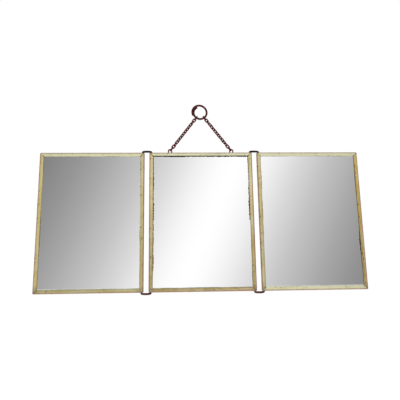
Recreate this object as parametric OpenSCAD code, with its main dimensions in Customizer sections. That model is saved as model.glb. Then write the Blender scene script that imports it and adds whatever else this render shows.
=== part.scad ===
// Hanging mirror of three brass edged panels. Bent wires hinge the outer panels to the middle one,
// and two short chains hang the middle one from a wire ring, which goes over a nail.
// The origin is the centre of the ring. The mirrors face -Y, +X is the viewer's right, +Z is up.

/* [Panels] */
// Width of each framed mirror
panel_w = 150; // [120:1:220]
// Height of each framed mirror
panel_h = 200; // [120:1:320]
// Gap between neighbouring frames
panel_gap = 7; // [6.5:0.5:12]

/* [Brass frame] */
// Thickness of the brass strip
brass_t = 0.45; // [0.3:0.05:0.6]
// Width of the front flange, which is the border seen round the mirror
front_flange = 5.7; // [5.2:0.5:12.2]
// Width of the rear flange
rear_flange = 5; // [4:0.5:10]
// Drop of the front flange from the top of its crown to its inner lip
crown_drop = 0.6; // [0.3:0.1:1]
// Outside radius of the rounded edges between web and flanges
shoulder_r = 1.3; // [0.9:0.1:1.5]
// Outside radius of the folded corners
corner_r = 2.1; // [0.6:0.1:2.2]
// Width of the open mitre at the outer edge of a flange
mitre_outer = 0.25; // [0.15:0.05:0.4]
// Width of the open mitre at the inner edge of a flange
mitre_inner = 0.7; // [0.3:0.1:1.2]
// Distance from the middle of a rail to the butt joint of the strip
seam_x = 21; // [0:1:45]
// Width of the butt joint
seam_gap = 0.2; // [0.1:0.05:0.4]

/* [Filling] */
// Thickness of the mirror glass
glass_t = 2.5; // [2:0.1:3]
// Thickness of the board pad behind the glass
pad_t = 0.7; // [0.5:0.05:1]
// Thickness of the sheet back plate
plate_t = 0.25; // [0.2:0.05:0.5]
// Clearance between the filling and the side webs
side_clearance = 0.25; // [0.15:0.05:0.5]
// Clearance between the filling and the heads of the eyes above it
top_clearance = 0.3; // [0.15:0.05:0.5]
// Clearance where the filling sits: on the bottom web, under the front lip and at the rear flange
seat_clearance = 0.02; // [0.01:0.01:0.05]

/* [Hinge wires] */
// Diameter of the hinge wire at its crown
hinge_wire_d = 3; // [2:0.1:3.1]
// Amount by which the radius of the legs is drawn down from that of the crown
leg_draw = 0.02; // [0.02:0.01:0.05]
// Distance from the edge of a frame to the axis of a leg
leg_inset = 2.9; // [2.7:0.1:5]
// Radial clearance of a leg in its hole
leg_clearance = 0.06; // [0.03:0.01:0.1]
// Inside radius of the bend between leg and crown
hinge_bend_inside = 0.15; // [0.1:0.05:0.2]
// Clearance between the crown and the webs under it
crown_clearance = 0.07; // [0.05:0.01:0.1]
// Slope of the crown where it leaves a bend, in degrees
crown_slope = 9; // [4:1:20]
// Play between the inside of a web and the head of a leg
leg_play = 0.5; // [0.4:0.05:0.7]
// Diameter of the upset head that keeps a leg in its hole
head_d = 3.5; // [3.3:0.1:3.6]
// Thickness of the upset head
head_t = 0.7; // [0.5:0.1:1]
// Clearance between the heads and the clipped corners of the filling
head_clearance = 0.4; // [0.3:0.1:1]

/* [Chains] */
// Number of links in each chain, odd, so that the first and last hang edge on
links_per_chain = 15; // [11:2:21]
// Twist of the chain from one link to the next, in degrees
link_twist = 9; // [0:1:9]
// Twist at which the links between stay
link_twist_most = 33; // [0:1:60]
// Diameter of the link wire
link_wire_d = 1.6; // [0.9:0.1:1.6]
// Length of the hole in a link
link_hole_l = 4.3; // [4.2:0.1:6]
// Width of the hole in a link
link_hole_w = 2.4; // [2.4:0.1:2.8]
// Length of the hole in the end links, which go over the ring and the eye
end_link_hole_l = 5.2; // [5.2:0.1:6]
// Width of the hole in the end links
end_link_hole_w = 3.3; // [3.2:0.1:3.6]
// Play of a link on its neighbour, on the ring and on the eye
link_play = 0.08; // [0.05:0.01:0.12]

/* [Ring] */
// Inside diameter of the ring, where the chains pull on it
ring_hole_d = 16.5; // [14:0.5:26]
// Diameter of the ring wire
ring_wire_d = 3; // [1.6:0.1:3]
// Angle where the inner end of the ring wire lies, counted from +X
ring_inner_end = 117; // [110:1:130]
// Angle where the outer end of the ring wire lies, counted from +X
ring_outer_end = 209; // [195:1:212]
// Gap between the overlapped ends of the ring wire
ring_end_gap = 0.2; // [0.1:0.05:0.4]
// Amount by which the radius of the overlapped ends is drawn down
ring_end_draw = 0.02; // [0.02:0.01:0.05]

/* [Eyes] */
// Distance between the middles of the two eyes
eye_spacing = 90; // [60:1:100]
// Diameter of the eye wire
eye_wire_d = 1.8; // [1.2:0.1:1.9]
// Width of the opening in the eye
eye_hole_w = 2.8; // [2.6:0.1:3.2]
// Height of the middle of the eye's arch above the frame
eye_arch_z = 2.8; // [2:0.1:4]
// Radial clearance of the eye's legs in the web
eye_leg_clearance = 0.04; // [0.02:0.01:0.08]
// Diameter of the head that each leg is upset to under the web
eye_head_d = 2.6; // [2.4:0.1:3]
// Thickness of that head
eye_head_t = 0.5; // [0.3:0.05:0.8]

/* [Hidden] */
$fn = 48;
// Sharpness of the long flange arcs
fine = 384;
// Length by which cuts run past what they cut
past = 1;
// Angle by which a drawn down arc of wire runs on inside the thicker one that it continues
run_in = 6;

// Frame section, in distance from the outer edge and in depth
crown_run = front_flange - shoulder_r;
crown_r = (pow(crown_run, 2) + pow(crown_drop, 2)) / (2 * crown_drop);
// Distance from the front of the crown to the inner side of the lip
lip_depth = crown_r - sqrt(pow(crown_r - brass_t, 2) - pow(crown_run, 2));
frame_depth = lip_depth + glass_t + pad_t + plate_t + 2 * seat_clearance + brass_t;
front_y = -frame_depth / 2;
rear_y = frame_depth / 2;
mitre_reach = (max(front_flange, rear_flange) + past) * sqrt(2);

// Filling, measured from the outer edge of the frame
top_inset = brass_t + eye_head_t + top_clearance;
head_reach = leg_inset + head_d / 2;
head_bottom = brass_t + leg_play + head_t;
// A clipped corner runs where the distances from the two outer edges add up to this
clip_sum = head_reach + head_bottom + head_clearance * sqrt(2);
glass_front_y = front_y + lip_depth + seat_clearance;
pad_front_y = glass_front_y + glass_t;
plate_front_y = pad_front_y + pad_t;

// Hinge wire
hinge_r = hinge_wire_d / 2;
leg_r = hinge_r - leg_draw;
hinge_span = panel_gap + 2 * leg_inset;
hinge_bend_r = hinge_r + hinge_bend_inside;
hinge_bend_x = hinge_span / 2 - hinge_bend_r;
hinge_crown_r = hinge_bend_r + hinge_bend_x / sin(crown_slope);
hinge_bend_z = crown_clearance - hinge_bend_inside;

// Eye, standing on the top of the centre frame
eye_r = eye_wire_d / 2;
eye_arch_r = eye_hole_w / 2 + eye_r;

// Ring
ring_r = (ring_hole_d + ring_wire_d) / 2;
ring_end_r = ring_wire_d / 2 - ring_end_draw;
ring_step = ring_wire_d + ring_end_gap;
// The outer end grows by this much in radius and swings forward, and the inner end leans back
ring_growth = 0.34 * ring_step;
ring_swing = asin(0.4 * ring_step / ring_r);
ring_lean = asin(0.26 * ring_step / (ring_r * (1 + cos(ring_inner_end))));

// Chain, along the line from the ring's centre to the eye's centre
link_r = link_wire_d / 2;
link_pitch = link_hole_l - link_play;
first_link = ring_r - ring_wire_d / 2 - link_play + end_link_hole_l / 2;
second_link = first_link + (end_link_hole_l + link_hole_l) / 2 - link_play;
last_link = 2 * second_link - first_link + (links_per_chain - 3) * link_pitch;
hang_l = last_link + end_link_hole_l / 2 - link_play - eye_r + eye_arch_r;
chain_angle = asin(eye_spacing / 2 / hang_l);
panel_top_z = -hang_l * cos(chain_angle) - eye_arch_z;
panel_mid_z = panel_top_z - panel_h / 2;
panel_pitch = panel_w + panel_gap;

// Distance from the outer edge of the frame to the inside of its web or rounded shoulder, at some
// depth from the frame's nearer face
function inner_wall(depth) = depth >= shoulder_r
    ? brass_t
    : shoulder_r - sqrt(pow(shoulder_r - brass_t, 2) - pow(shoulder_r - depth, 2));

SIDES = ["left", "right"];
function sign_of(side) = side == "left" ? -1 : 1;
// Distance of a link's middle from the ring's centre
function link_at(i) = i == 1 ? first_link
    : i == links_per_chain ? last_link
    : second_link + (i - 2) * link_pitch;
function twist_of(i) = min(link_twist_most, link_twist * min(i - 1, links_per_chain - i));
function link_name(side, i) = str(side, "_chain_link_", i < 10 ? "0" : "", i);

brass = "#c4b47c";
silver = "#d8dbdd";
board = "#8a7a5e";
tinplate = "#9aa0a2";
brown_wire = "#4a2c26";

// An arc of round wire in the XZ plane, which starts at one angle and sweeps through another
module wire_arc(radius, wire_r, from, sweep)
    rotate([90, 0, 0])
    rotate([0, 0, from])
    rotate_extrude(angle = sweep)
    translate([radius, 0])
    circle(wire_r);

// Stands a flat outline up in the XZ plane, with its front at the given depth
module upright(depth_y, thickness)
    translate([0, depth_y + thickness, 0])
    rotate([90, 0, 0])
    linear_extrude(thickness)
    children();

// ---- brass frame ----

// Web and both rounded shoulders of the channel
module channel_back_section()
    difference() {
        union() {
            translate([0, front_y + shoulder_r])
                square([shoulder_r, frame_depth - 2 * shoulder_r]);
            for (y = [front_y + shoulder_r, rear_y - shoulder_r])
                translate([shoulder_r, y])
                circle(shoulder_r);
        }
        translate([brass_t, front_y + shoulder_r])
            square([shoulder_r, frame_depth - 2 * shoulder_r]);
        for (y = [front_y + shoulder_r, rear_y - shoulder_r])
            translate([shoulder_r, y])
            circle(shoulder_r - brass_t);
        translate([shoulder_r, front_y - past])
            square([shoulder_r + past, frame_depth + 2 * past]);
    }

// Crowned front flange, an arc that falls from the shoulder to the lip
module front_flange_section()
    intersection() {
        translate([shoulder_r, front_y + crown_r])
            difference() {
                circle(crown_r, $fn = fine);
                circle(crown_r - brass_t, $fn = fine);
            }
        translate([shoulder_r, front_y])
            square([crown_run, lip_depth]);
    }

// The whole channel, open towards the middle of the panel
module channel_section() {
    channel_back_section();
    front_flange_section();
    translate([shoulder_r, rear_y - brass_t])
        square([rear_flange - shoulder_r, brass_t]);
}

// One rail along X with its outer edge at z = 0, mitred at both ends
module rail(length)
    intersection() {
        rotate([0, 90, 0])
            linear_extrude(length, center = true)
            channel_section();
        upright(front_y - past, frame_depth + 2 * past)
            polygon([
                [-length / 2, 0],
                [length / 2, 0],
                [length / 2 - front_flange - past, -front_flange - past],
                [-length / 2 + front_flange + past, -front_flange - past]
            ]);
    }

module rounded_outline()
    union() {
        square([panel_w - 2 * corner_r, panel_h], center = true);
        square([panel_w, panel_h - 2 * corner_r], center = true);
        for (x = [-1, 1], y = [-1, 1])
            translate([x * (panel_w / 2 - corner_r), y * (panel_h / 2 - corner_r)])
            circle(corner_r);
    }

// Fills the inside of a rounded corner up to the thickness of the web
module corner_webs()
    upright(front_y + shoulder_r, frame_depth - 2 * shoulder_r)
    for (turn = [0, 180], side = [-1, 1])
        rotate(turn)
        translate([panel_w / 2 - corner_r, side * (panel_h / 2 - corner_r)])
        difference() {
            translate([0, side > 0 ? 0 : -corner_r])
                square(corner_r);
            circle(corner_r - brass_t);
        }

// Wedge that opens a mitre, from the corner towards the middle of the panel
module mitre_wedge()
    polygon([
        [-past, -mitre_outer / 2],
        [mitre_reach, -mitre_inner / 2],
        [mitre_reach, mitre_inner / 2],
        [-past, mitre_outer / 2]
    ]);

// Open mitres of all four corners, through one flange and its shoulder
module mitres(depth_y, thickness)
    upright(depth_y, thickness)
    for (x = [-1, 1], y = [-1, 1])
        translate([x * panel_w / 2, y * panel_h / 2])
        rotate(x < 0 ? -y * 45 : 180 + y * 45)
        mitre_wedge();

// Folded channel. hinge_sides says at which edges hinge wires pass through, eye_sides where eyes
// stand, and seam_end is 1 for a butt joint in the top rail or -1 for one in the bottom rail.
module frame(hinge_sides, eye_sides, seam_end)
    color(brass)
    difference() {
        intersection() {
            union() {
                for (end = [0, 180])
                    rotate([0, end, 0])
                    translate([0, 0, panel_h / 2])
                    rail(panel_w);
                for (side = [90, -90])
                    rotate([0, side, 0])
                    translate([0, 0, panel_w / 2])
                    rail(panel_h);
                corner_webs();
            }
            upright(front_y - past, frame_depth + 2 * past)
                rounded_outline();
        }
        mitres(front_y - past, past + shoulder_r);
        mitres(rear_y - shoulder_r, past + shoulder_r);
        for (side = hinge_sides)
            translate([side * (panel_w / 2 - leg_inset), 0, 0])
            cylinder(h = panel_h + 2 * past, r = leg_r + leg_clearance, center = true);
        for (side = eye_sides, leg = [-1, 1])
            translate([side * eye_spacing / 2 + leg * eye_arch_r, 0, panel_h / 2])
            cylinder(h = 2 * past, r = eye_r + eye_leg_clearance, center = true);
        translate([seam_x, 0, seam_end * panel_h / 2])
            cube([seam_gap, frame_depth + 2 * past, 2 * (front_flange + past)], center = true);
    }

// ---- filling of a frame ----

// Outline of a pane that stands on the inside of the bottom web or shoulder, its corners clipped
// round the hinge wires' heads
module clipped_outline(wall) {
    side = wall + side_clearance;
    top = max(top_inset, side);
    bottom = wall + seat_clearance;
    half_w = panel_w / 2;
    half_h = panel_h / 2;
    polygon([
        [half_w - clip_sum + top, half_h - top],
        [half_w - side, half_h - clip_sum + side],
        [half_w - side, clip_sum - side - half_h],
        [half_w - clip_sum + bottom, bottom - half_h],
        [clip_sum - bottom - half_w, bottom - half_h],
        [side - half_w, clip_sum - side - half_h],
        [side - half_w, half_h - clip_sum + side],
        [clip_sum - top - half_w, half_h - top]
    ]);
}

module mirror_glass()
    color(silver)
    upright(glass_front_y, glass_t)
    clipped_outline(inner_wall(lip_depth + seat_clearance));

module pad()
    color(board)
    upright(pad_front_y, pad_t)
    clipped_outline(inner_wall(rear_y - pad_front_y - pad_t));

module back_plate()
    color(tinplate)
    upright(plate_front_y, plate_t)
    clipped_outline(inner_wall(brass_t + seat_clearance));

// ---- hinge wires ----

// Bent wire whose legs go down through the webs of two frames, with the frames' edge at z = 0
module hinge_wire()
    color(brown_wire) {
        translate([0, 0, hinge_bend_z - (hinge_crown_r - hinge_bend_r) * cos(crown_slope)])
            wire_arc(hinge_crown_r, hinge_r, 90 - crown_slope, 2 * crown_slope);
        for (turn = [0, 180])
            rotate([0, 0, turn]) {
                translate([hinge_bend_x, 0, hinge_bend_z])
                    wire_arc(hinge_bend_r, leg_r, 0, 90 - crown_slope + run_in);
                translate([hinge_span / 2, 0, -head_bottom])
                    cylinder(h = head_bottom + hinge_bend_z, r = leg_r);
                translate([hinge_span / 2, 0, -head_bottom])
                    cylinder(h = head_t / 2, r1 = hinge_r, r2 = head_d / 2);
                translate([hinge_span / 2, 0, -head_bottom + head_t / 2])
                    cylinder(h = head_t / 2, r = head_d / 2);
            }
    }

// A hinge wire in place, at the top (end = 1) or the bottom (end = -1)
module placed_hinge_wire(end, side)
    translate([side * panel_pitch / 2, 0, panel_mid_z + end * panel_h / 2])
    rotate([0, end > 0 ? 0 : 180, 0])
    hinge_wire();

// ---- eyes, chains and ring ----

// Eye bent from one wire, its legs through the web below z = 0 and upset to heads under it
module eye()
    color(brown_wire) {
        translate([0, 0, eye_arch_z])
            wire_arc(eye_arch_r, eye_r, 0, 180);
        for (leg = [-1, 1])
            translate([leg * eye_arch_r, 0, -brass_t - eye_head_t]) {
                cylinder(h = brass_t + eye_head_t + eye_arch_z, r = eye_r);
                cylinder(h = eye_head_t, r = eye_head_d / 2);
            }
    }

module placed_eye(side)
    translate([side * eye_spacing / 2, 0, panel_top_z])
    eye();

// One oval link in the XZ plane, long side along Z
module chain_link(hole_l, hole_w) {
    bend_r = (hole_w + link_wire_d) / 2;
    side_l = hole_l - hole_w;
    color(brown_wire)
    for (end = [0, 180])
        rotate([0, end, 0]) {
            translate([0, 0, side_l / 2])
                wire_arc(bend_r, link_r, 0, 180);
            translate([bend_r, 0, -side_l / 2])
                cylinder(h = side_l, r = link_r);
        }
}

// Link i of a chain, counted from the ring. Links are turned by a right angle in turn, and both
// chains are twisted from their ends, so that the links between them slant to the front.
module placed_link(side, i)
    rotate([0, -side * chain_angle, 0])
    translate([0, 0, -link_at(i)])
    rotate([0, 0, (i % 2 == 1 ? 90 : 0) + side * twist_of(i)])
    if (i == 1 || i == links_per_chain)
        chain_link(end_link_hole_l, end_link_hole_w);
    else
        chain_link(link_hole_l, link_hole_w);

// Ring of one wire with overlapped ends. Its lower half carries the chains and lies in the XZ
// plane. The outer end swings forward and out past the inner one, which leans back.
module hanging_ring()
    color(brown_wire) {
        wire_arc(ring_r, ring_wire_d / 2, 180, 180);
        translate([ring_r, 0, 0])
            rotate([0, 0, ring_swing])
            translate([-ring_r - ring_growth, 0, 0])
            wire_arc(ring_r + ring_growth, ring_end_r, -run_in, ring_outer_end + run_in);
        translate([-ring_r, 0, 0])
            rotate([0, 0, ring_lean])
            translate([ring_r, 0, 0])
            wire_arc(ring_r, ring_end_r, 180 + run_in, ring_inner_end - 180 - run_in);
    }

// ---- nodes ----

module place_panel(side)
    translate([side * panel_pitch, 0, panel_mid_z])
    children();

hanging_ring();
for (side = SIDES, i = [1 : links_per_chain])
    placed_link(sign_of(side), i);
for (side = SIDES)
    placed_eye(sign_of(side));
for (side = SIDES) {
    placed_hinge_wire(1, sign_of(side));
    placed_hinge_wire(-1, sign_of(side));
}
place_panel(0) frame([-1, 1], [-1, 1], 1);  // centre_frame
place_panel(-1) frame([1], [], -1);  // left_frame
place_panel(1) frame([-1], [], -1);  // right_frame
for (panel = [["centre", 0], ["left", -1], ["right", 1]]) {
    place_panel(panel[1]) mirror_glass();
    place_panel(panel[1]) pad();
    place_panel(panel[1]) back_plate();
}
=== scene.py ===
import bpy
from mathutils import Matrix, Vector


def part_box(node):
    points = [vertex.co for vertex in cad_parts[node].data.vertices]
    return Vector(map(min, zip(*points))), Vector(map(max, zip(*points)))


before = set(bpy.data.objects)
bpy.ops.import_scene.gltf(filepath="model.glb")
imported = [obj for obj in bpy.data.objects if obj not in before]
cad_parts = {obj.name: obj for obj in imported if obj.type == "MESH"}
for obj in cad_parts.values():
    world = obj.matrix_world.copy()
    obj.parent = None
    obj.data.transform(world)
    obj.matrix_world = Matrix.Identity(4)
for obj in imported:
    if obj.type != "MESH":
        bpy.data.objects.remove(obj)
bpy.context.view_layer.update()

# Sizes in metres from the frame: middle height and half sizes of the centre panel, panel pitch
low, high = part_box("centre_frame")
MID_Z = (low.z + high.z) / 2
HALF_W = (high.x - low.x) / 2
HALF_H = (high.z - low.z) / 2
low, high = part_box("right_frame")
PITCH = (low.x + high.x) / 2
# Width of the frames' front flange
FLANGE = 0.0057

# Tints of the brass rail by rail: partly worn and tarnished, partly painted light, with the top
# rails lightest and the side rails darker towards the bottom
CREAM = (0.86, 0.84, 0.52)
PALE_STRAW = (0.83, 0.68, 0.29)
STRAW = (0.77, 0.63, 0.24)
WHEAT = (0.61, 0.52, 0.23)
OLIVE = (0.55, 0.48, 0.18)
HONEY = (0.65, 0.48, 0.12)
AMBER = (0.69, 0.46, 0.10)
BRONZE = (0.48, 0.36, 0.11)
GOLD = (0.43, 0.27, 0.03)
COPPER = (0.42, 0.22, 0.17)
RUBBED = (1.0, 0.97, 0.78)
TARNISH = (0.30, 0.24, 0.09)
BLOTCH = (0.26, 0.17, 0.08)
LIP_SHADE_AND_DIRT = (0.07, 0.062, 0.025)
DENT = (0.06, 0.04, 0.02)
MITRE_DIRT = (0.025, 0.018, 0.010)
CORNER_PATCH = (0.20, 0.11, 0.045)
# Streaks: a fine and a broad noise, drawn out along the rail by this factor
STREAK = 0.035
FINE_SCALE = 1500
BROAD_SCALE = 420
# Copper on the shoulder, dirt at the mitres and patches at the bottom corners each start to show
# at one distance and show in full at another
SHOULDER_STARTS = 0.0021
SHOULDER_FULL = 0.0009
MITRE_STARTS = 0.0013
MITRE_FULL = 0.0006
CORNER_STARTS = 0.029
CORNER_FULL = 0.019
# Painted shade and dirt on the inner lips: how wide its soft side is, and how far it wanders out
LIP_WIDTH = 0.0004
LIP_WANDER = 0.0005
# Dents: scale of the cells, and the share of them without a dent on side and on end rails
DENT_SCALE = 125.0
CLEAR_ON_SIDES = 0.62
CLEAR_ON_ENDS = 0.88

# Share of the light that the silvering reflects, and the colours of what has come over it or is
# painted on it: dust, rot with painted shade, and a painted highlight
SILVER = 0.956
DUST = (0.30, 0.30, 0.29)
ROT_AND_SHADE = (0.012, 0.011, 0.010)
# Painted highlight along the bottom edge: its colour, where it starts to show and where it shows in
# full
BOTTOM_HIGHLIGHT = (0.84, 0.84, 0.82)
BOTTOM_HIGHLIGHT_STARTS = 0.0011
BOTTOM_HIGHLIGHT_FULL = 0.0006
# How far the rot and the painted shade reach in from the edges, anywhere and within their spans,
# and a span's soft ends
ROT_AND_SHADE_ANYWHERE = 0.00035
ROT_AND_SHADE_IN_SPAN = 0.00055
SPAN_END = 0.004

# Colours of the wires' pits, of the board and of the back plates
PIT = (0.012, 0.004, 0.003)
DARK_FIBRE = (0.20, 0.14, 0.08)
PALE_FIBRE = (0.42, 0.33, 0.22)
BOARD_STAIN = (0.14, 0.10, 0.06)
DARK_TIN = (0.40, 0.41, 0.41)
PALE_TIN = (0.56, 0.57, 0.56)
TIN_STAIN = (0.27, 0.26, 0.24)
TIN_SCRATCH = (0.75, 0.76, 0.76)
TIN_RUST = (0.22, 0.09, 0.035)

# By panel: its middle, the tints of its top, bottom, left and right rail, partly painted light,
# where a side rail has an upper and a lower one, the painted shade and dirt on the same four inner
# lips, and the spans of rot with painted shade. A span has the axis towards its edge (0 is X, 2 is
# Z), that edge's sign, and both ends along the edge
PANELS = (
    ("centre", 0.0,
     (CREAM, BRONZE, (STRAW, BRONZE), (PALE_STRAW, BRONZE)), (1.0, 0.5, 0.4, 0.3),
     ((0, -1, -0.07, 0.026), (0, 1, 0.0, 0.05), (2, 1, -0.072, 0.072))),
    ("left", -PITCH,
     (CREAM, OLIVE, (STRAW, HONEY), (PALE_STRAW, WHEAT)), (0.15, 0.2, 0.45, 0.1),
     ()),
    ("right", PITCH,
     (CREAM, CREAM, (PALE_STRAW, WHEAT), (AMBER, GOLD)), (0.2, 0.1, 0.3, 0.7),
     ((0, 1, -0.05, -0.02),)),
)

# Floor: how far it is below the mirror's middle, its half size, and the extra light that the
# camera sees on it
FLOOR_DROP = 0.62
FLOOR_HALF = 30.0
FLOOR_GLOW = 0.4

# Band of light that the mirrors see. A direction's slopes across and upward, times these factors,
# say how many pixels of the picture it lies from the band's middle line, and the tones say how
# light it is there, on a scale to 255
BAND_ACROSS = 556.5
BAND_UPWARD = -249.4
BAND_OFFSET = -0.5
BAND_PIXELS = 260
BAND_TONES = (
    (0, 256), (20, 252), (35, 246), (50, 238), (80, 218),
    (115, 196), (165, 168), (200, 150), (240, 133), (260, 125))
BEHIND = (0.55, 0.55, 0.55)
EVEN_LIGHT = (0.80, 0.80, 0.80)
WHITE = (1.0, 1.0, 1.0)

# Camera, fitted to the photographed corners of the panels
LENS = 40.5
SENSOR = 36.0
NEAREST = 0.01
FARTHEST = 100
CAMERA_PLACE = (-0.031623, -0.634067, MID_Z - 0.097092)
CAMERA_TURN = Matrix((
    (0.998946, 0.006566, -0.045432),
    (-0.043266, -0.195951, -0.979659),
    (-0.015335, 0.980592, -0.195460)))


class Nodes:
    """A node tree that is built by nested calls."""

    def __init__(self, tree):
        self.tree = tree
        tree.nodes.clear()

    def put(self, socket, value):
        if isinstance(value, bpy.types.NodeSocket):
            self.tree.links.new(value, socket)
        else:
            socket.default_value = value

    def add(self, kind, inputs=(), **settings):
        node = self.tree.nodes.new(kind)
        for key, value in settings.items():
            setattr(node, key, value)
        for key, value in dict(inputs).items():
            self.put(node.inputs[key], value)
        return node

    def math(self, operation, *values, clamp=False):
        node = self.add("ShaderNodeMath", operation=operation, use_clamp=clamp)
        for socket, value in zip(node.inputs, values):
            self.put(socket, value)
        return node.outputs[0]

    def plus(self, a, b):
        return self.math("ADD", a, b)

    def minus(self, a, b):
        return self.math("SUBTRACT", a, b)

    def times(self, a, b):
        return self.math("MULTIPLY", a, b)

    def vector(self, operation, *values):
        node = self.add("ShaderNodeVectorMath", operation=operation)
        for socket, value in zip(node.inputs, values):
            self.put(socket, value)
        return node.outputs[0]

    def mix(self, factor, a, b):
        """Mix of two colours."""
        node = self.add("ShaderNodeMix", data_type="RGBA")
        self.put(node.inputs[0], factor)
        for socket, value in zip((node.inputs[6], node.inputs[7]), (a, b)):
            self.put(socket, (*value, 1) if isinstance(value, tuple) else value)
        return node.outputs[2]

    def blend(self, factor, a, b):
        """Mix of two numbers."""
        node = self.add("ShaderNodeMix", data_type="FLOAT")
        sockets = (node.inputs[0], node.inputs[2], node.inputs[3])
        for socket, value in zip(sockets, (factor, a, b)):
            self.put(socket, value)
        return node.outputs[0]

    def noise(self, coord, scale, detail=2.0, rough=0.5, distortion=0.0):
        node = self.add("ShaderNodeTexNoise", {
            "Vector": coord, "Scale": scale, "Detail": detail,
            "Roughness": rough, "Distortion": distortion})
        return node.outputs["Fac"]

    def fit(self, value, low, high, to_low=0.0, to_high=1.0):
        """The value's place between low and high, smoothly, on the scale from to_low to to_high."""
        node = self.add("ShaderNodeMapRange", {
            "Value": value, "From Min": low, "From Max": high,
            "To Min": to_low, "To Max": to_high}, interpolation_type="SMOOTHSTEP")
        return node.outputs["Result"]

    def ramp(self, factor, stops):
        node = self.add("ShaderNodeValToRGB", {"Fac": factor})
        node.color_ramp.interpolation = "LINEAR"
        marks = node.color_ramp.elements
        while len(marks) < len(stops):
            marks.new(0.5)
        for mark, (place, colour) in zip(marks, stops):
            mark.position = place
            mark.color = (*colour, 1)
        return node.outputs["Color"]

    def bump(self, height, strength, distance, normal=None):
        inputs = {"Height": height, "Strength": strength, "Distance": distance}
        if normal is not None:
            inputs["Normal"] = normal
        return self.add("ShaderNodeBump", inputs).outputs["Normal"]

    def place(self, offset=(0, 0, 0), stretch=(1, 1, 1)):
        """Object coordinates in metres, moved and stretched."""
        coord = self.add("ShaderNodeTexCoord").outputs["Object"]
        moved = self.vector("SUBTRACT", coord, offset)
        return self.vector("MULTIPLY", moved, stretch)

    def surface(self, colour, metallic, roughness, normal=None, **more):
        """Principled surface on the material's output; more inputs by name, with _ for a space."""
        inputs = {"Base Color": colour, "Metallic": metallic, "Roughness": roughness}
        if normal is not None:
            inputs["Normal"] = normal
        for key, value in more.items():
            inputs[key.replace("_", " ")] = value
        shader = self.add("ShaderNodeBsdfPrincipled", inputs)
        self.add("ShaderNodeOutputMaterial", {"Surface": shader.outputs[0]})


def material(name):
    made = bpy.data.materials.new(name)
    made.use_nodes = True
    return made, Nodes(made.node_tree)


def shift(n, coord, seed, steps):
    """Coordinates moved by the seed, so that each panel or wire has its own pattern."""
    return n.vector("ADD", coord, tuple(seed * step for step in steps))


def edge_distances(n, centre_x):
    """Distances from a panel's side and end edges, the coordinates, and their three parts."""
    coord = n.place((centre_x, 0, MID_Z))
    parts = n.add("ShaderNodeSeparateXYZ", {"Vector": coord}).outputs
    from_side = n.minus(HALF_W, n.math("ABSOLUTE", parts[0]))
    from_end = n.minus(HALF_H, n.math("ABSOLUTE", parts[2]))
    return from_side, from_end, coord, parts


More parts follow.
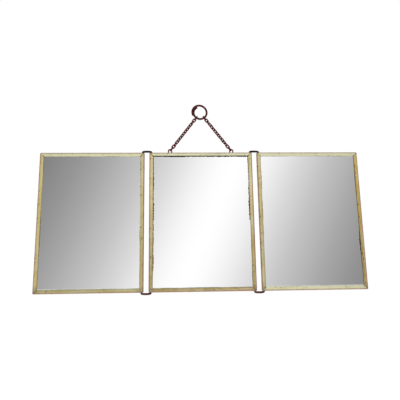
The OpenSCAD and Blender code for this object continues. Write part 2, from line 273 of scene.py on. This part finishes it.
def brass(name, centre_x, seed, tints, lips):
    """Worn brass strip: its own tint on each rail, partly painted light, a dark inner lip of
    painted shade and dirt, streaks, dents and dirt.
    """
    made, n = material(name)
    from_side, from_end, coord, (x, y, z) = edge_distances(n, centre_x)
    on_end = n.math("LESS_THAN", from_end, from_side)
    edge = n.math("MINIMUM", from_side, from_end)
    shifted = shift(n, coord, seed, (0.37, 0.11, 0.23))
    along_x = n.vector("MULTIPLY", shifted, (STREAK, 1, 1))
    along_z = n.vector("MULTIPLY", shifted, (1, 1, STREAK))
    fine = n.blend(on_end, n.noise(along_z, FINE_SCALE, 3), n.noise(along_x, FINE_SCALE, 3))
    broad = n.blend(on_end, n.noise(along_z, BROAD_SCALE, 3, 0.6),
                    n.noise(along_x, BROAD_SCALE, 3, 0.6))
    cloud = n.noise(shifted, 70, 4, 0.6)
    blotch = n.noise(shifted, 210, 5, 0.62, 0.6)
    speck = n.noise(shifted, 620, 2, 0.4)

    # Each rail's tint, partly painted light, and the painted shade and dirt on its lip
    upper = n.math("GREATER_THAN", z, 0.0)
    right_hand = n.math("GREATER_THAN", x, 0.0)
    downward = n.fit(z, 0.06, -0.06)
    side_tint = n.mix(right_hand, n.mix(downward, *tints[2]), n.mix(downward, *tints[3]))
    tint = n.mix(on_end, side_tint, n.mix(upper, tints[1], tints[0]))
    side_lip = n.blend(right_hand, lips[2], lips[3])
    lip_shade_and_dirt = n.blend(on_end, side_lip, n.blend(upper, lips[1], lips[0]))

    # Streaks, tarnish and blotches
    clean = n.mix(n.fit(broad, 0.35, 0.66, 0.0, 0.35), tint, RUBBED)
    dull = n.mix(n.fit(fine, 0.3, 0.7), n.mix(0.5, tint, TARNISH), tint)
    body = n.mix(n.fit(cloud, 0.46, 0.74, 0.0, 0.8), clean, dull)
    body = n.mix(n.fit(blotch, 0.64, 0.78, 0.0, 0.6), body, BLOTCH)

    # Copper-brown tint along the shoulder at the outer edge, less of it on the outer walls
    shoulder = n.fit(edge, SHOULDER_STARTS, SHOULDER_FULL)
    frontal = n.blend(n.fit(y, 0.0, -0.0012), 0.45, 0.9)
    copper_share = n.times(frontal, n.fit(cloud, 0.3, 0.6, 0.75, 1.0))
    body = n.mix(n.times(shoulder, copper_share), body, COPPER)

    # Painted shade and dirt along the inner lip
    inner = n.plus(edge, n.times(n.plus(blotch, lip_shade_and_dirt), LIP_WANDER))
    lip = n.times(n.fit(inner, FLANGE - LIP_WIDTH, FLANGE), lip_shade_and_dirt)
    body = n.mix(lip, body, LIP_SHADE_AND_DIRT)

    # Dents and flecks: some of the cells have a dent, fewer of them on the end rails
    flat = n.add("ShaderNodeCombineXYZ", {"X": x, "Y": n.plus(z, seed)}).outputs[0]
    cells = n.add("ShaderNodeTexVoronoi", {"Vector": flat, "Scale": DENT_SCALE},
                  voronoi_dimensions="2D").outputs
    chance = n.add("ShaderNodeSeparateColor", {"Color": cells["Color"]}).outputs
    chosen = n.math("GREATER_THAN", chance[0], n.blend(on_end, CLEAR_ON_SIDES, CLEAR_ON_ENDS))
    spread = n.minus(cells["Distance"], n.times(chance[1], 0.05))
    dent = n.times(n.fit(spread, 0.10, 0.03), chosen)
    fleck = n.math("MAXIMUM", n.fit(speck, 0.70, 0.74), dent)
    body = n.mix(n.times(fleck, 0.85), body, DENT)

    # Dirt beside the mitres, and brown patches at the bottom corners
    off_mitre = n.math("ABSOLUTE", n.minus(from_side, from_end))
    ragged = n.minus(n.plus(off_mitre, n.times(speck, 0.0016)), n.times(edge, 0.10))
    dirt = n.fit(ragged, MITRE_STARTS, MITRE_FULL)
    body = n.mix(n.times(dirt, 0.95), body, MITRE_DIRT)
    corner = n.plus(n.plus(from_side, from_end), n.times(cloud, 0.03))
    patch = n.times(n.fit(corner, CORNER_STARTS, CORNER_FULL), n.fit(z, -0.02, -0.09))
    body = n.mix(n.times(patch, 0.4), body, CORNER_PATCH)

    rough = n.plus(n.fit(blotch, 0.3, 0.75, 0.30, 0.52), n.times(dirt, 0.25))
    relief = n.bump(fine, 0.12, 0.0002)
    relief = n.bump(n.times(fleck, -1.0), 0.5, 0.0003, relief)
    relief = n.bump(n.noise(shifted, 120, 2), 0.25, 0.001, relief)
    n.surface(body, 0.6, rough, relief)
    return made


def silvered(name, centre_x, seed, rot_and_shade_spans):
    """Old mirror: clear silvering with dust, a painted highlight along the bottom, and black rot
    with painted shade from the edges.
    """
    made, n = material(name)
    from_side, from_end, coord, parts = edge_distances(n, centre_x)
    shifted = shift(n, coord, seed, (0.41, 0.19, 0.29))
    inside = n.minus(n.math("MINIMUM", from_side, from_end), FLANGE)
    ragged = n.noise(shifted, 420, 4, 0.7)
    slow = n.noise(shifted, 38, 2)

    # Black rot and painted shade beside the frame: a ragged line along the edges, farther in within
    # the spans
    reach = n.times(n.fit(slow, 0.40, 0.66), ROT_AND_SHADE_ANYWHERE)
    for axis, sign, first, last in rot_and_shade_spans:
        on_edge = n.math("GREATER_THAN", n.times(parts[axis], sign), 0.0)
        along = parts[2 - axis]
        after_first = n.fit(along, first - SPAN_END, first + SPAN_END)
        before_last = n.fit(along, last + SPAN_END, last - SPAN_END)
        span = n.times(n.times(after_first, before_last), on_edge)
        reach = n.plus(reach, n.times(span, ROT_AND_SHADE_IN_SPAN))
    line = n.times(reach, n.fit(ragged, 0.30, 0.62, 0.35, 1.5))
    rot_and_shade = n.math("LESS_THAN", inside, line)

    dust = n.fit(n.noise(shifted, 900, 2, 0.3), 0.775, 0.81)
    colour = n.mix(n.times(dust, 0.4), (SILVER, SILVER, SILVER), DUST)
    colour = n.mix(rot_and_shade, colour, ROT_AND_SHADE)

    # Painted highlight: a pale line along the bottom edge
    at_end = n.fit(n.minus(from_end, FLANGE), BOTTOM_HIGHLIGHT_STARTS, BOTTOM_HIGHLIGHT_FULL)
    at_bottom = n.times(at_end, n.math("LESS_THAN", parts[2], 0.0))
    bottom_highlight = n.times(at_bottom, n.fit(slow, 0.32, 0.5, 0.2, 0.6))
    colour = n.mix(bottom_highlight, colour, BOTTOM_HIGHLIGHT)

    haze = n.fit(n.noise(shifted, 24, 4, 0.6), 0.45, 0.8, 0.0, 0.035)
    rough = n.plus(n.plus(haze, n.times(rot_and_shade, 0.4)), n.times(bottom_highlight, 0.4))
    n.surface(colour, n.minus(1.0, bottom_highlight), rough)
    return made


def rusted_wire(name, seed, dark, mid, light):
    """Old iron wire: dark brown skin, redder rust, rubbed highlights."""
    made, n = material(name)
    shifted = shift(n, n.place(), seed, (0.31, 0.17, 0.47))
    crust = n.noise(shifted, 900, 5, 0.65)
    cloud = n.noise(shifted, 260, 3, 0.55)
    body = n.mix(n.fit(cloud, 0.36, 0.62), dark, mid)
    body = n.mix(n.fit(crust, 0.52, 0.74), body, light)
    pit = n.fit(n.noise(shifted, 2400, 3, 0.6), 0.60, 0.72)
    body = n.mix(n.times(pit, 0.7), body, PIT)
    rough = n.fit(crust, 0.3, 0.7, 0.38, 0.66)
    relief = n.bump(crust, 0.5, 0.0002)
    relief = n.bump(pit, 0.25, 0.0001, relief)
    n.surface(body, 0.6, rough, relief, Specular_IOR_Level=0.12)
    return made


def old_board(name):
    """Brown board with its fibres up and down."""
    made, n = material(name)
    coord = n.place(stretch=(1, 1, 0.2))
    fibre = n.noise(coord, 700, 5, 0.7)
    cloud = n.noise(n.place(), 60, 3)
    body = n.mix(n.fit(fibre, 0.3, 0.7), DARK_FIBRE, PALE_FIBRE)
    body = n.mix(n.fit(cloud, 0.45, 0.7, 0, 0.5), body, BOARD_STAIN)
    n.surface(body, 0.0, 0.85, n.bump(fibre, 0.4, 0.0003))
    return made


def tinned_sheet(name, seed):
    """Thin tinned back plate: dull spangle, rolling lines, rust blooms and scratches."""
    made, n = material(name)
    shifted = shift(n, n.place(), seed, (0.7, 0.0, 0.53))
    cells = n.add("ShaderNodeTexVoronoi", {"Vector": shifted, "Scale": 95.0}).outputs["Color"]
    spangle = n.add("ShaderNodeSeparateColor", {"Color": cells}).outputs[0]
    rolled = n.noise(n.vector("MULTIPLY", shifted, (1, 1, 0.03)), 900, 3)
    cloud = n.noise(shifted, 26, 5, 0.62)
    rust = n.fit(n.noise(shifted, 60, 8, 0.72, 0.4), 0.60, 0.72)
    scratch = n.fit(n.noise(n.vector("MULTIPLY", shifted, (0.06, 1, 1.6)), 1300, 2), 0.74, 0.78)
    body = n.mix(n.fit(spangle, 0, 1, 0.0, 0.5), DARK_TIN, PALE_TIN)
    body = n.mix(n.fit(cloud, 0.42, 0.68, 0.0, 0.65), body, TIN_STAIN)
    body = n.mix(n.times(scratch, 0.5), body, TIN_SCRATCH)
    body = n.mix(rust, body, TIN_RUST)
    metal = n.fit(rust, 0.0, 1.0, 0.9, 0.15)
    rough = n.plus(n.fit(cloud, 0.3, 0.7, 0.38, 0.58), n.times(rust, 0.3))
    relief = n.bump(n.plus(rolled, n.times(rust, 0.8)), 0.2, 0.0003)
    n.surface(body, metal, rough, relief)
    return made


def paint(node, made):
    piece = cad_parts[node]
    if not piece.material_slots:
        piece.data.materials.append(made)
    for slot in piece.material_slots:
        slot.material = made


board = old_board("board")
for seed, (panel, middle, tints, lips, rot_and_shade_spans) in enumerate(PANELS, 1):
    paint(panel + "_frame", brass("brass_" + panel, middle, seed, tints, lips))
    paint(panel + "_mirror", silvered("silvering_" + panel, middle, seed, rot_and_shade_spans))
    paint(panel + "_back_plate", tinned_sheet("tinned_" + panel, seed))
    paint(panel + "_pad", board)

chain_wire = rusted_wire(
    "chain_wire", 1, (0.055, 0.003, 0.003), (0.19, 0.011, 0.010), (0.55, 0.13, 0.11))
ring_wire = rusted_wire(
    "ring_wire", 2, (0.045, 0.006, 0.005), (0.120, 0.022, 0.018), (0.45, 0.19, 0.16))
# The top hinge wires get a much darker copy of the same rusted wire than the bottom ones: painted
# shade
bent_wire = rusted_wire(
    "bent_wire", 3, (0.010, 0.003, 0.002), (0.035, 0.010, 0.008), (0.16, 0.06, 0.05))
low_wire = rusted_wire(
    "low_wire", 4, (0.045, 0.014, 0.010), (0.14, 0.045, 0.032), (0.40, 0.20, 0.15))
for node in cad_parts:
    if "_chain_link_" in node or node.endswith("_eye"):
        paint(node, chain_wire)
    elif node.endswith("_hinge_wire"):
        paint(node, low_wire if node.startswith("bottom_") else bent_wire)
paint("hanging_ring", ring_wire)

# Floor
floor_z = MID_Z - FLOOR_DROP
floor_mesh = bpy.data.meshes.new("floor")
floor_corners = [(x * FLOOR_HALF, y * FLOOR_HALF, floor_z)
                 for x, y in ((-1, -1), (1, -1), (1, 1), (-1, 1))]
floor_mesh.from_pydata(floor_corners, [], [(0, 1, 2, 3)])
floor = bpy.data.objects.new("floor", floor_mesh)
bpy.context.scene.collection.objects.link(floor)
pale, n = material("pale_floor")
floor_tint = n.mix(n.noise(n.place(), 3, 2), (0.93, 0.93, 0.93), (0.96, 0.96, 0.96))
# The camera sees the floor brightened to white, which leaves the light on the mirror as it is
glow = n.times(n.add("ShaderNodeLightPath").outputs["Is Camera Ray"], FLOOR_GLOW)
n.surface(floor_tint, 0.0, 0.9, Emission_Color=(*WHITE, 1.0), Emission_Strength=glow)
floor_mesh.materials.append(pale)

# World: white for the camera, even light for the surfaces, and the band of light for the mirrors
world = bpy.data.worlds.new("studio")
bpy.context.scene.world = world
world.use_nodes = True
n = Nodes(world.node_tree)
direction = n.add("ShaderNodeTexCoord").outputs["Generated"]
x, y, z = n.add("ShaderNodeSeparateXYZ", {"Vector": direction}).outputs
# A direction's slopes are its parts across and upward by its part to the front, kept above zero
to_front = n.math("MAXIMUM", n.times(y, -1.0), 0.02)
across = n.math("DIVIDE", x, to_front)
upward = n.math("DIVIDE", z, to_front)
line = n.plus(n.times(across, BAND_ACROSS), n.times(upward, BAND_UPWARD))
off_band = n.math("ABSOLUTE", n.plus(line, BAND_OFFSET))
stops = []
for pixels, tone in BAND_TONES:
    # sRGB tone to linear light, and what the silvering takes of it
    light = ((tone / 255 + 0.055) / 1.055) ** 2.4 / SILVER
    stops.append((pixels / BAND_PIXELS, (light, light, light)))
band = n.ramp(n.math("DIVIDE", off_band, BAND_PIXELS, clamp=True), stops)
ray = n.add("ShaderNodeLightPath").outputs
# The band lies to the front of the mirror, and an even grey behind it
glossy = n.mix(n.fit(y, 0.15, -0.25), BEHIND, band)
lit = n.mix(ray["Is Diffuse Ray"], glossy, EVEN_LIGHT)
seen = n.mix(ray["Is Camera Ray"], lit, WHITE)
background = n.add("ShaderNodeBackground", {"Color": seen, "Strength": 1.0})
n.add("ShaderNodeOutputWorld", {"Surface": background.outputs[0]})


def soft_light(name, place, size, power):
    """Lamp aimed at the middle of the centre panel, which the mirrors don't show."""
    data = bpy.data.lights.new(name, "AREA")
    data.shape = "RECTANGLE"
    data.size, data.size_y = size
    data.energy = power
    lamp = bpy.data.objects.new(name, data)
    lamp.location = place
    lamp.rotation_mode = "QUATERNION"
    lamp.rotation_quaternion = (Vector((0, 0, MID_Z)) - Vector(place)).to_track_quat("-Z", "Y")
    lamp.visible_glossy = False
    bpy.context.scene.collection.objects.link(lamp)


soft_light("key_light", place=(-0.9, -1.1, 1.0), size=(0.7, 0.7), power=9.0)
soft_light("back_light", place=(1.0, 1.3, 0.8), size=(1.2, 0.9), power=8.0)

# Camera at the photograph's viewing angle
camera_data = bpy.data.cameras.new("camera")
camera_data.sensor_width = SENSOR
camera_data.lens = LENS
camera_data.clip_start = NEAREST
camera_data.clip_end = FARTHEST
camera = bpy.data.objects.new("camera", camera_data)
camera.matrix_world = Matrix.Translation(CAMERA_PLACE) @ CAMERA_TURN.to_4x4()
bpy.context.scene.collection.objects.link(camera)
bpy.context.scene.camera = camera
bpy.context.scene.view_settings.view_transform = "Standard"
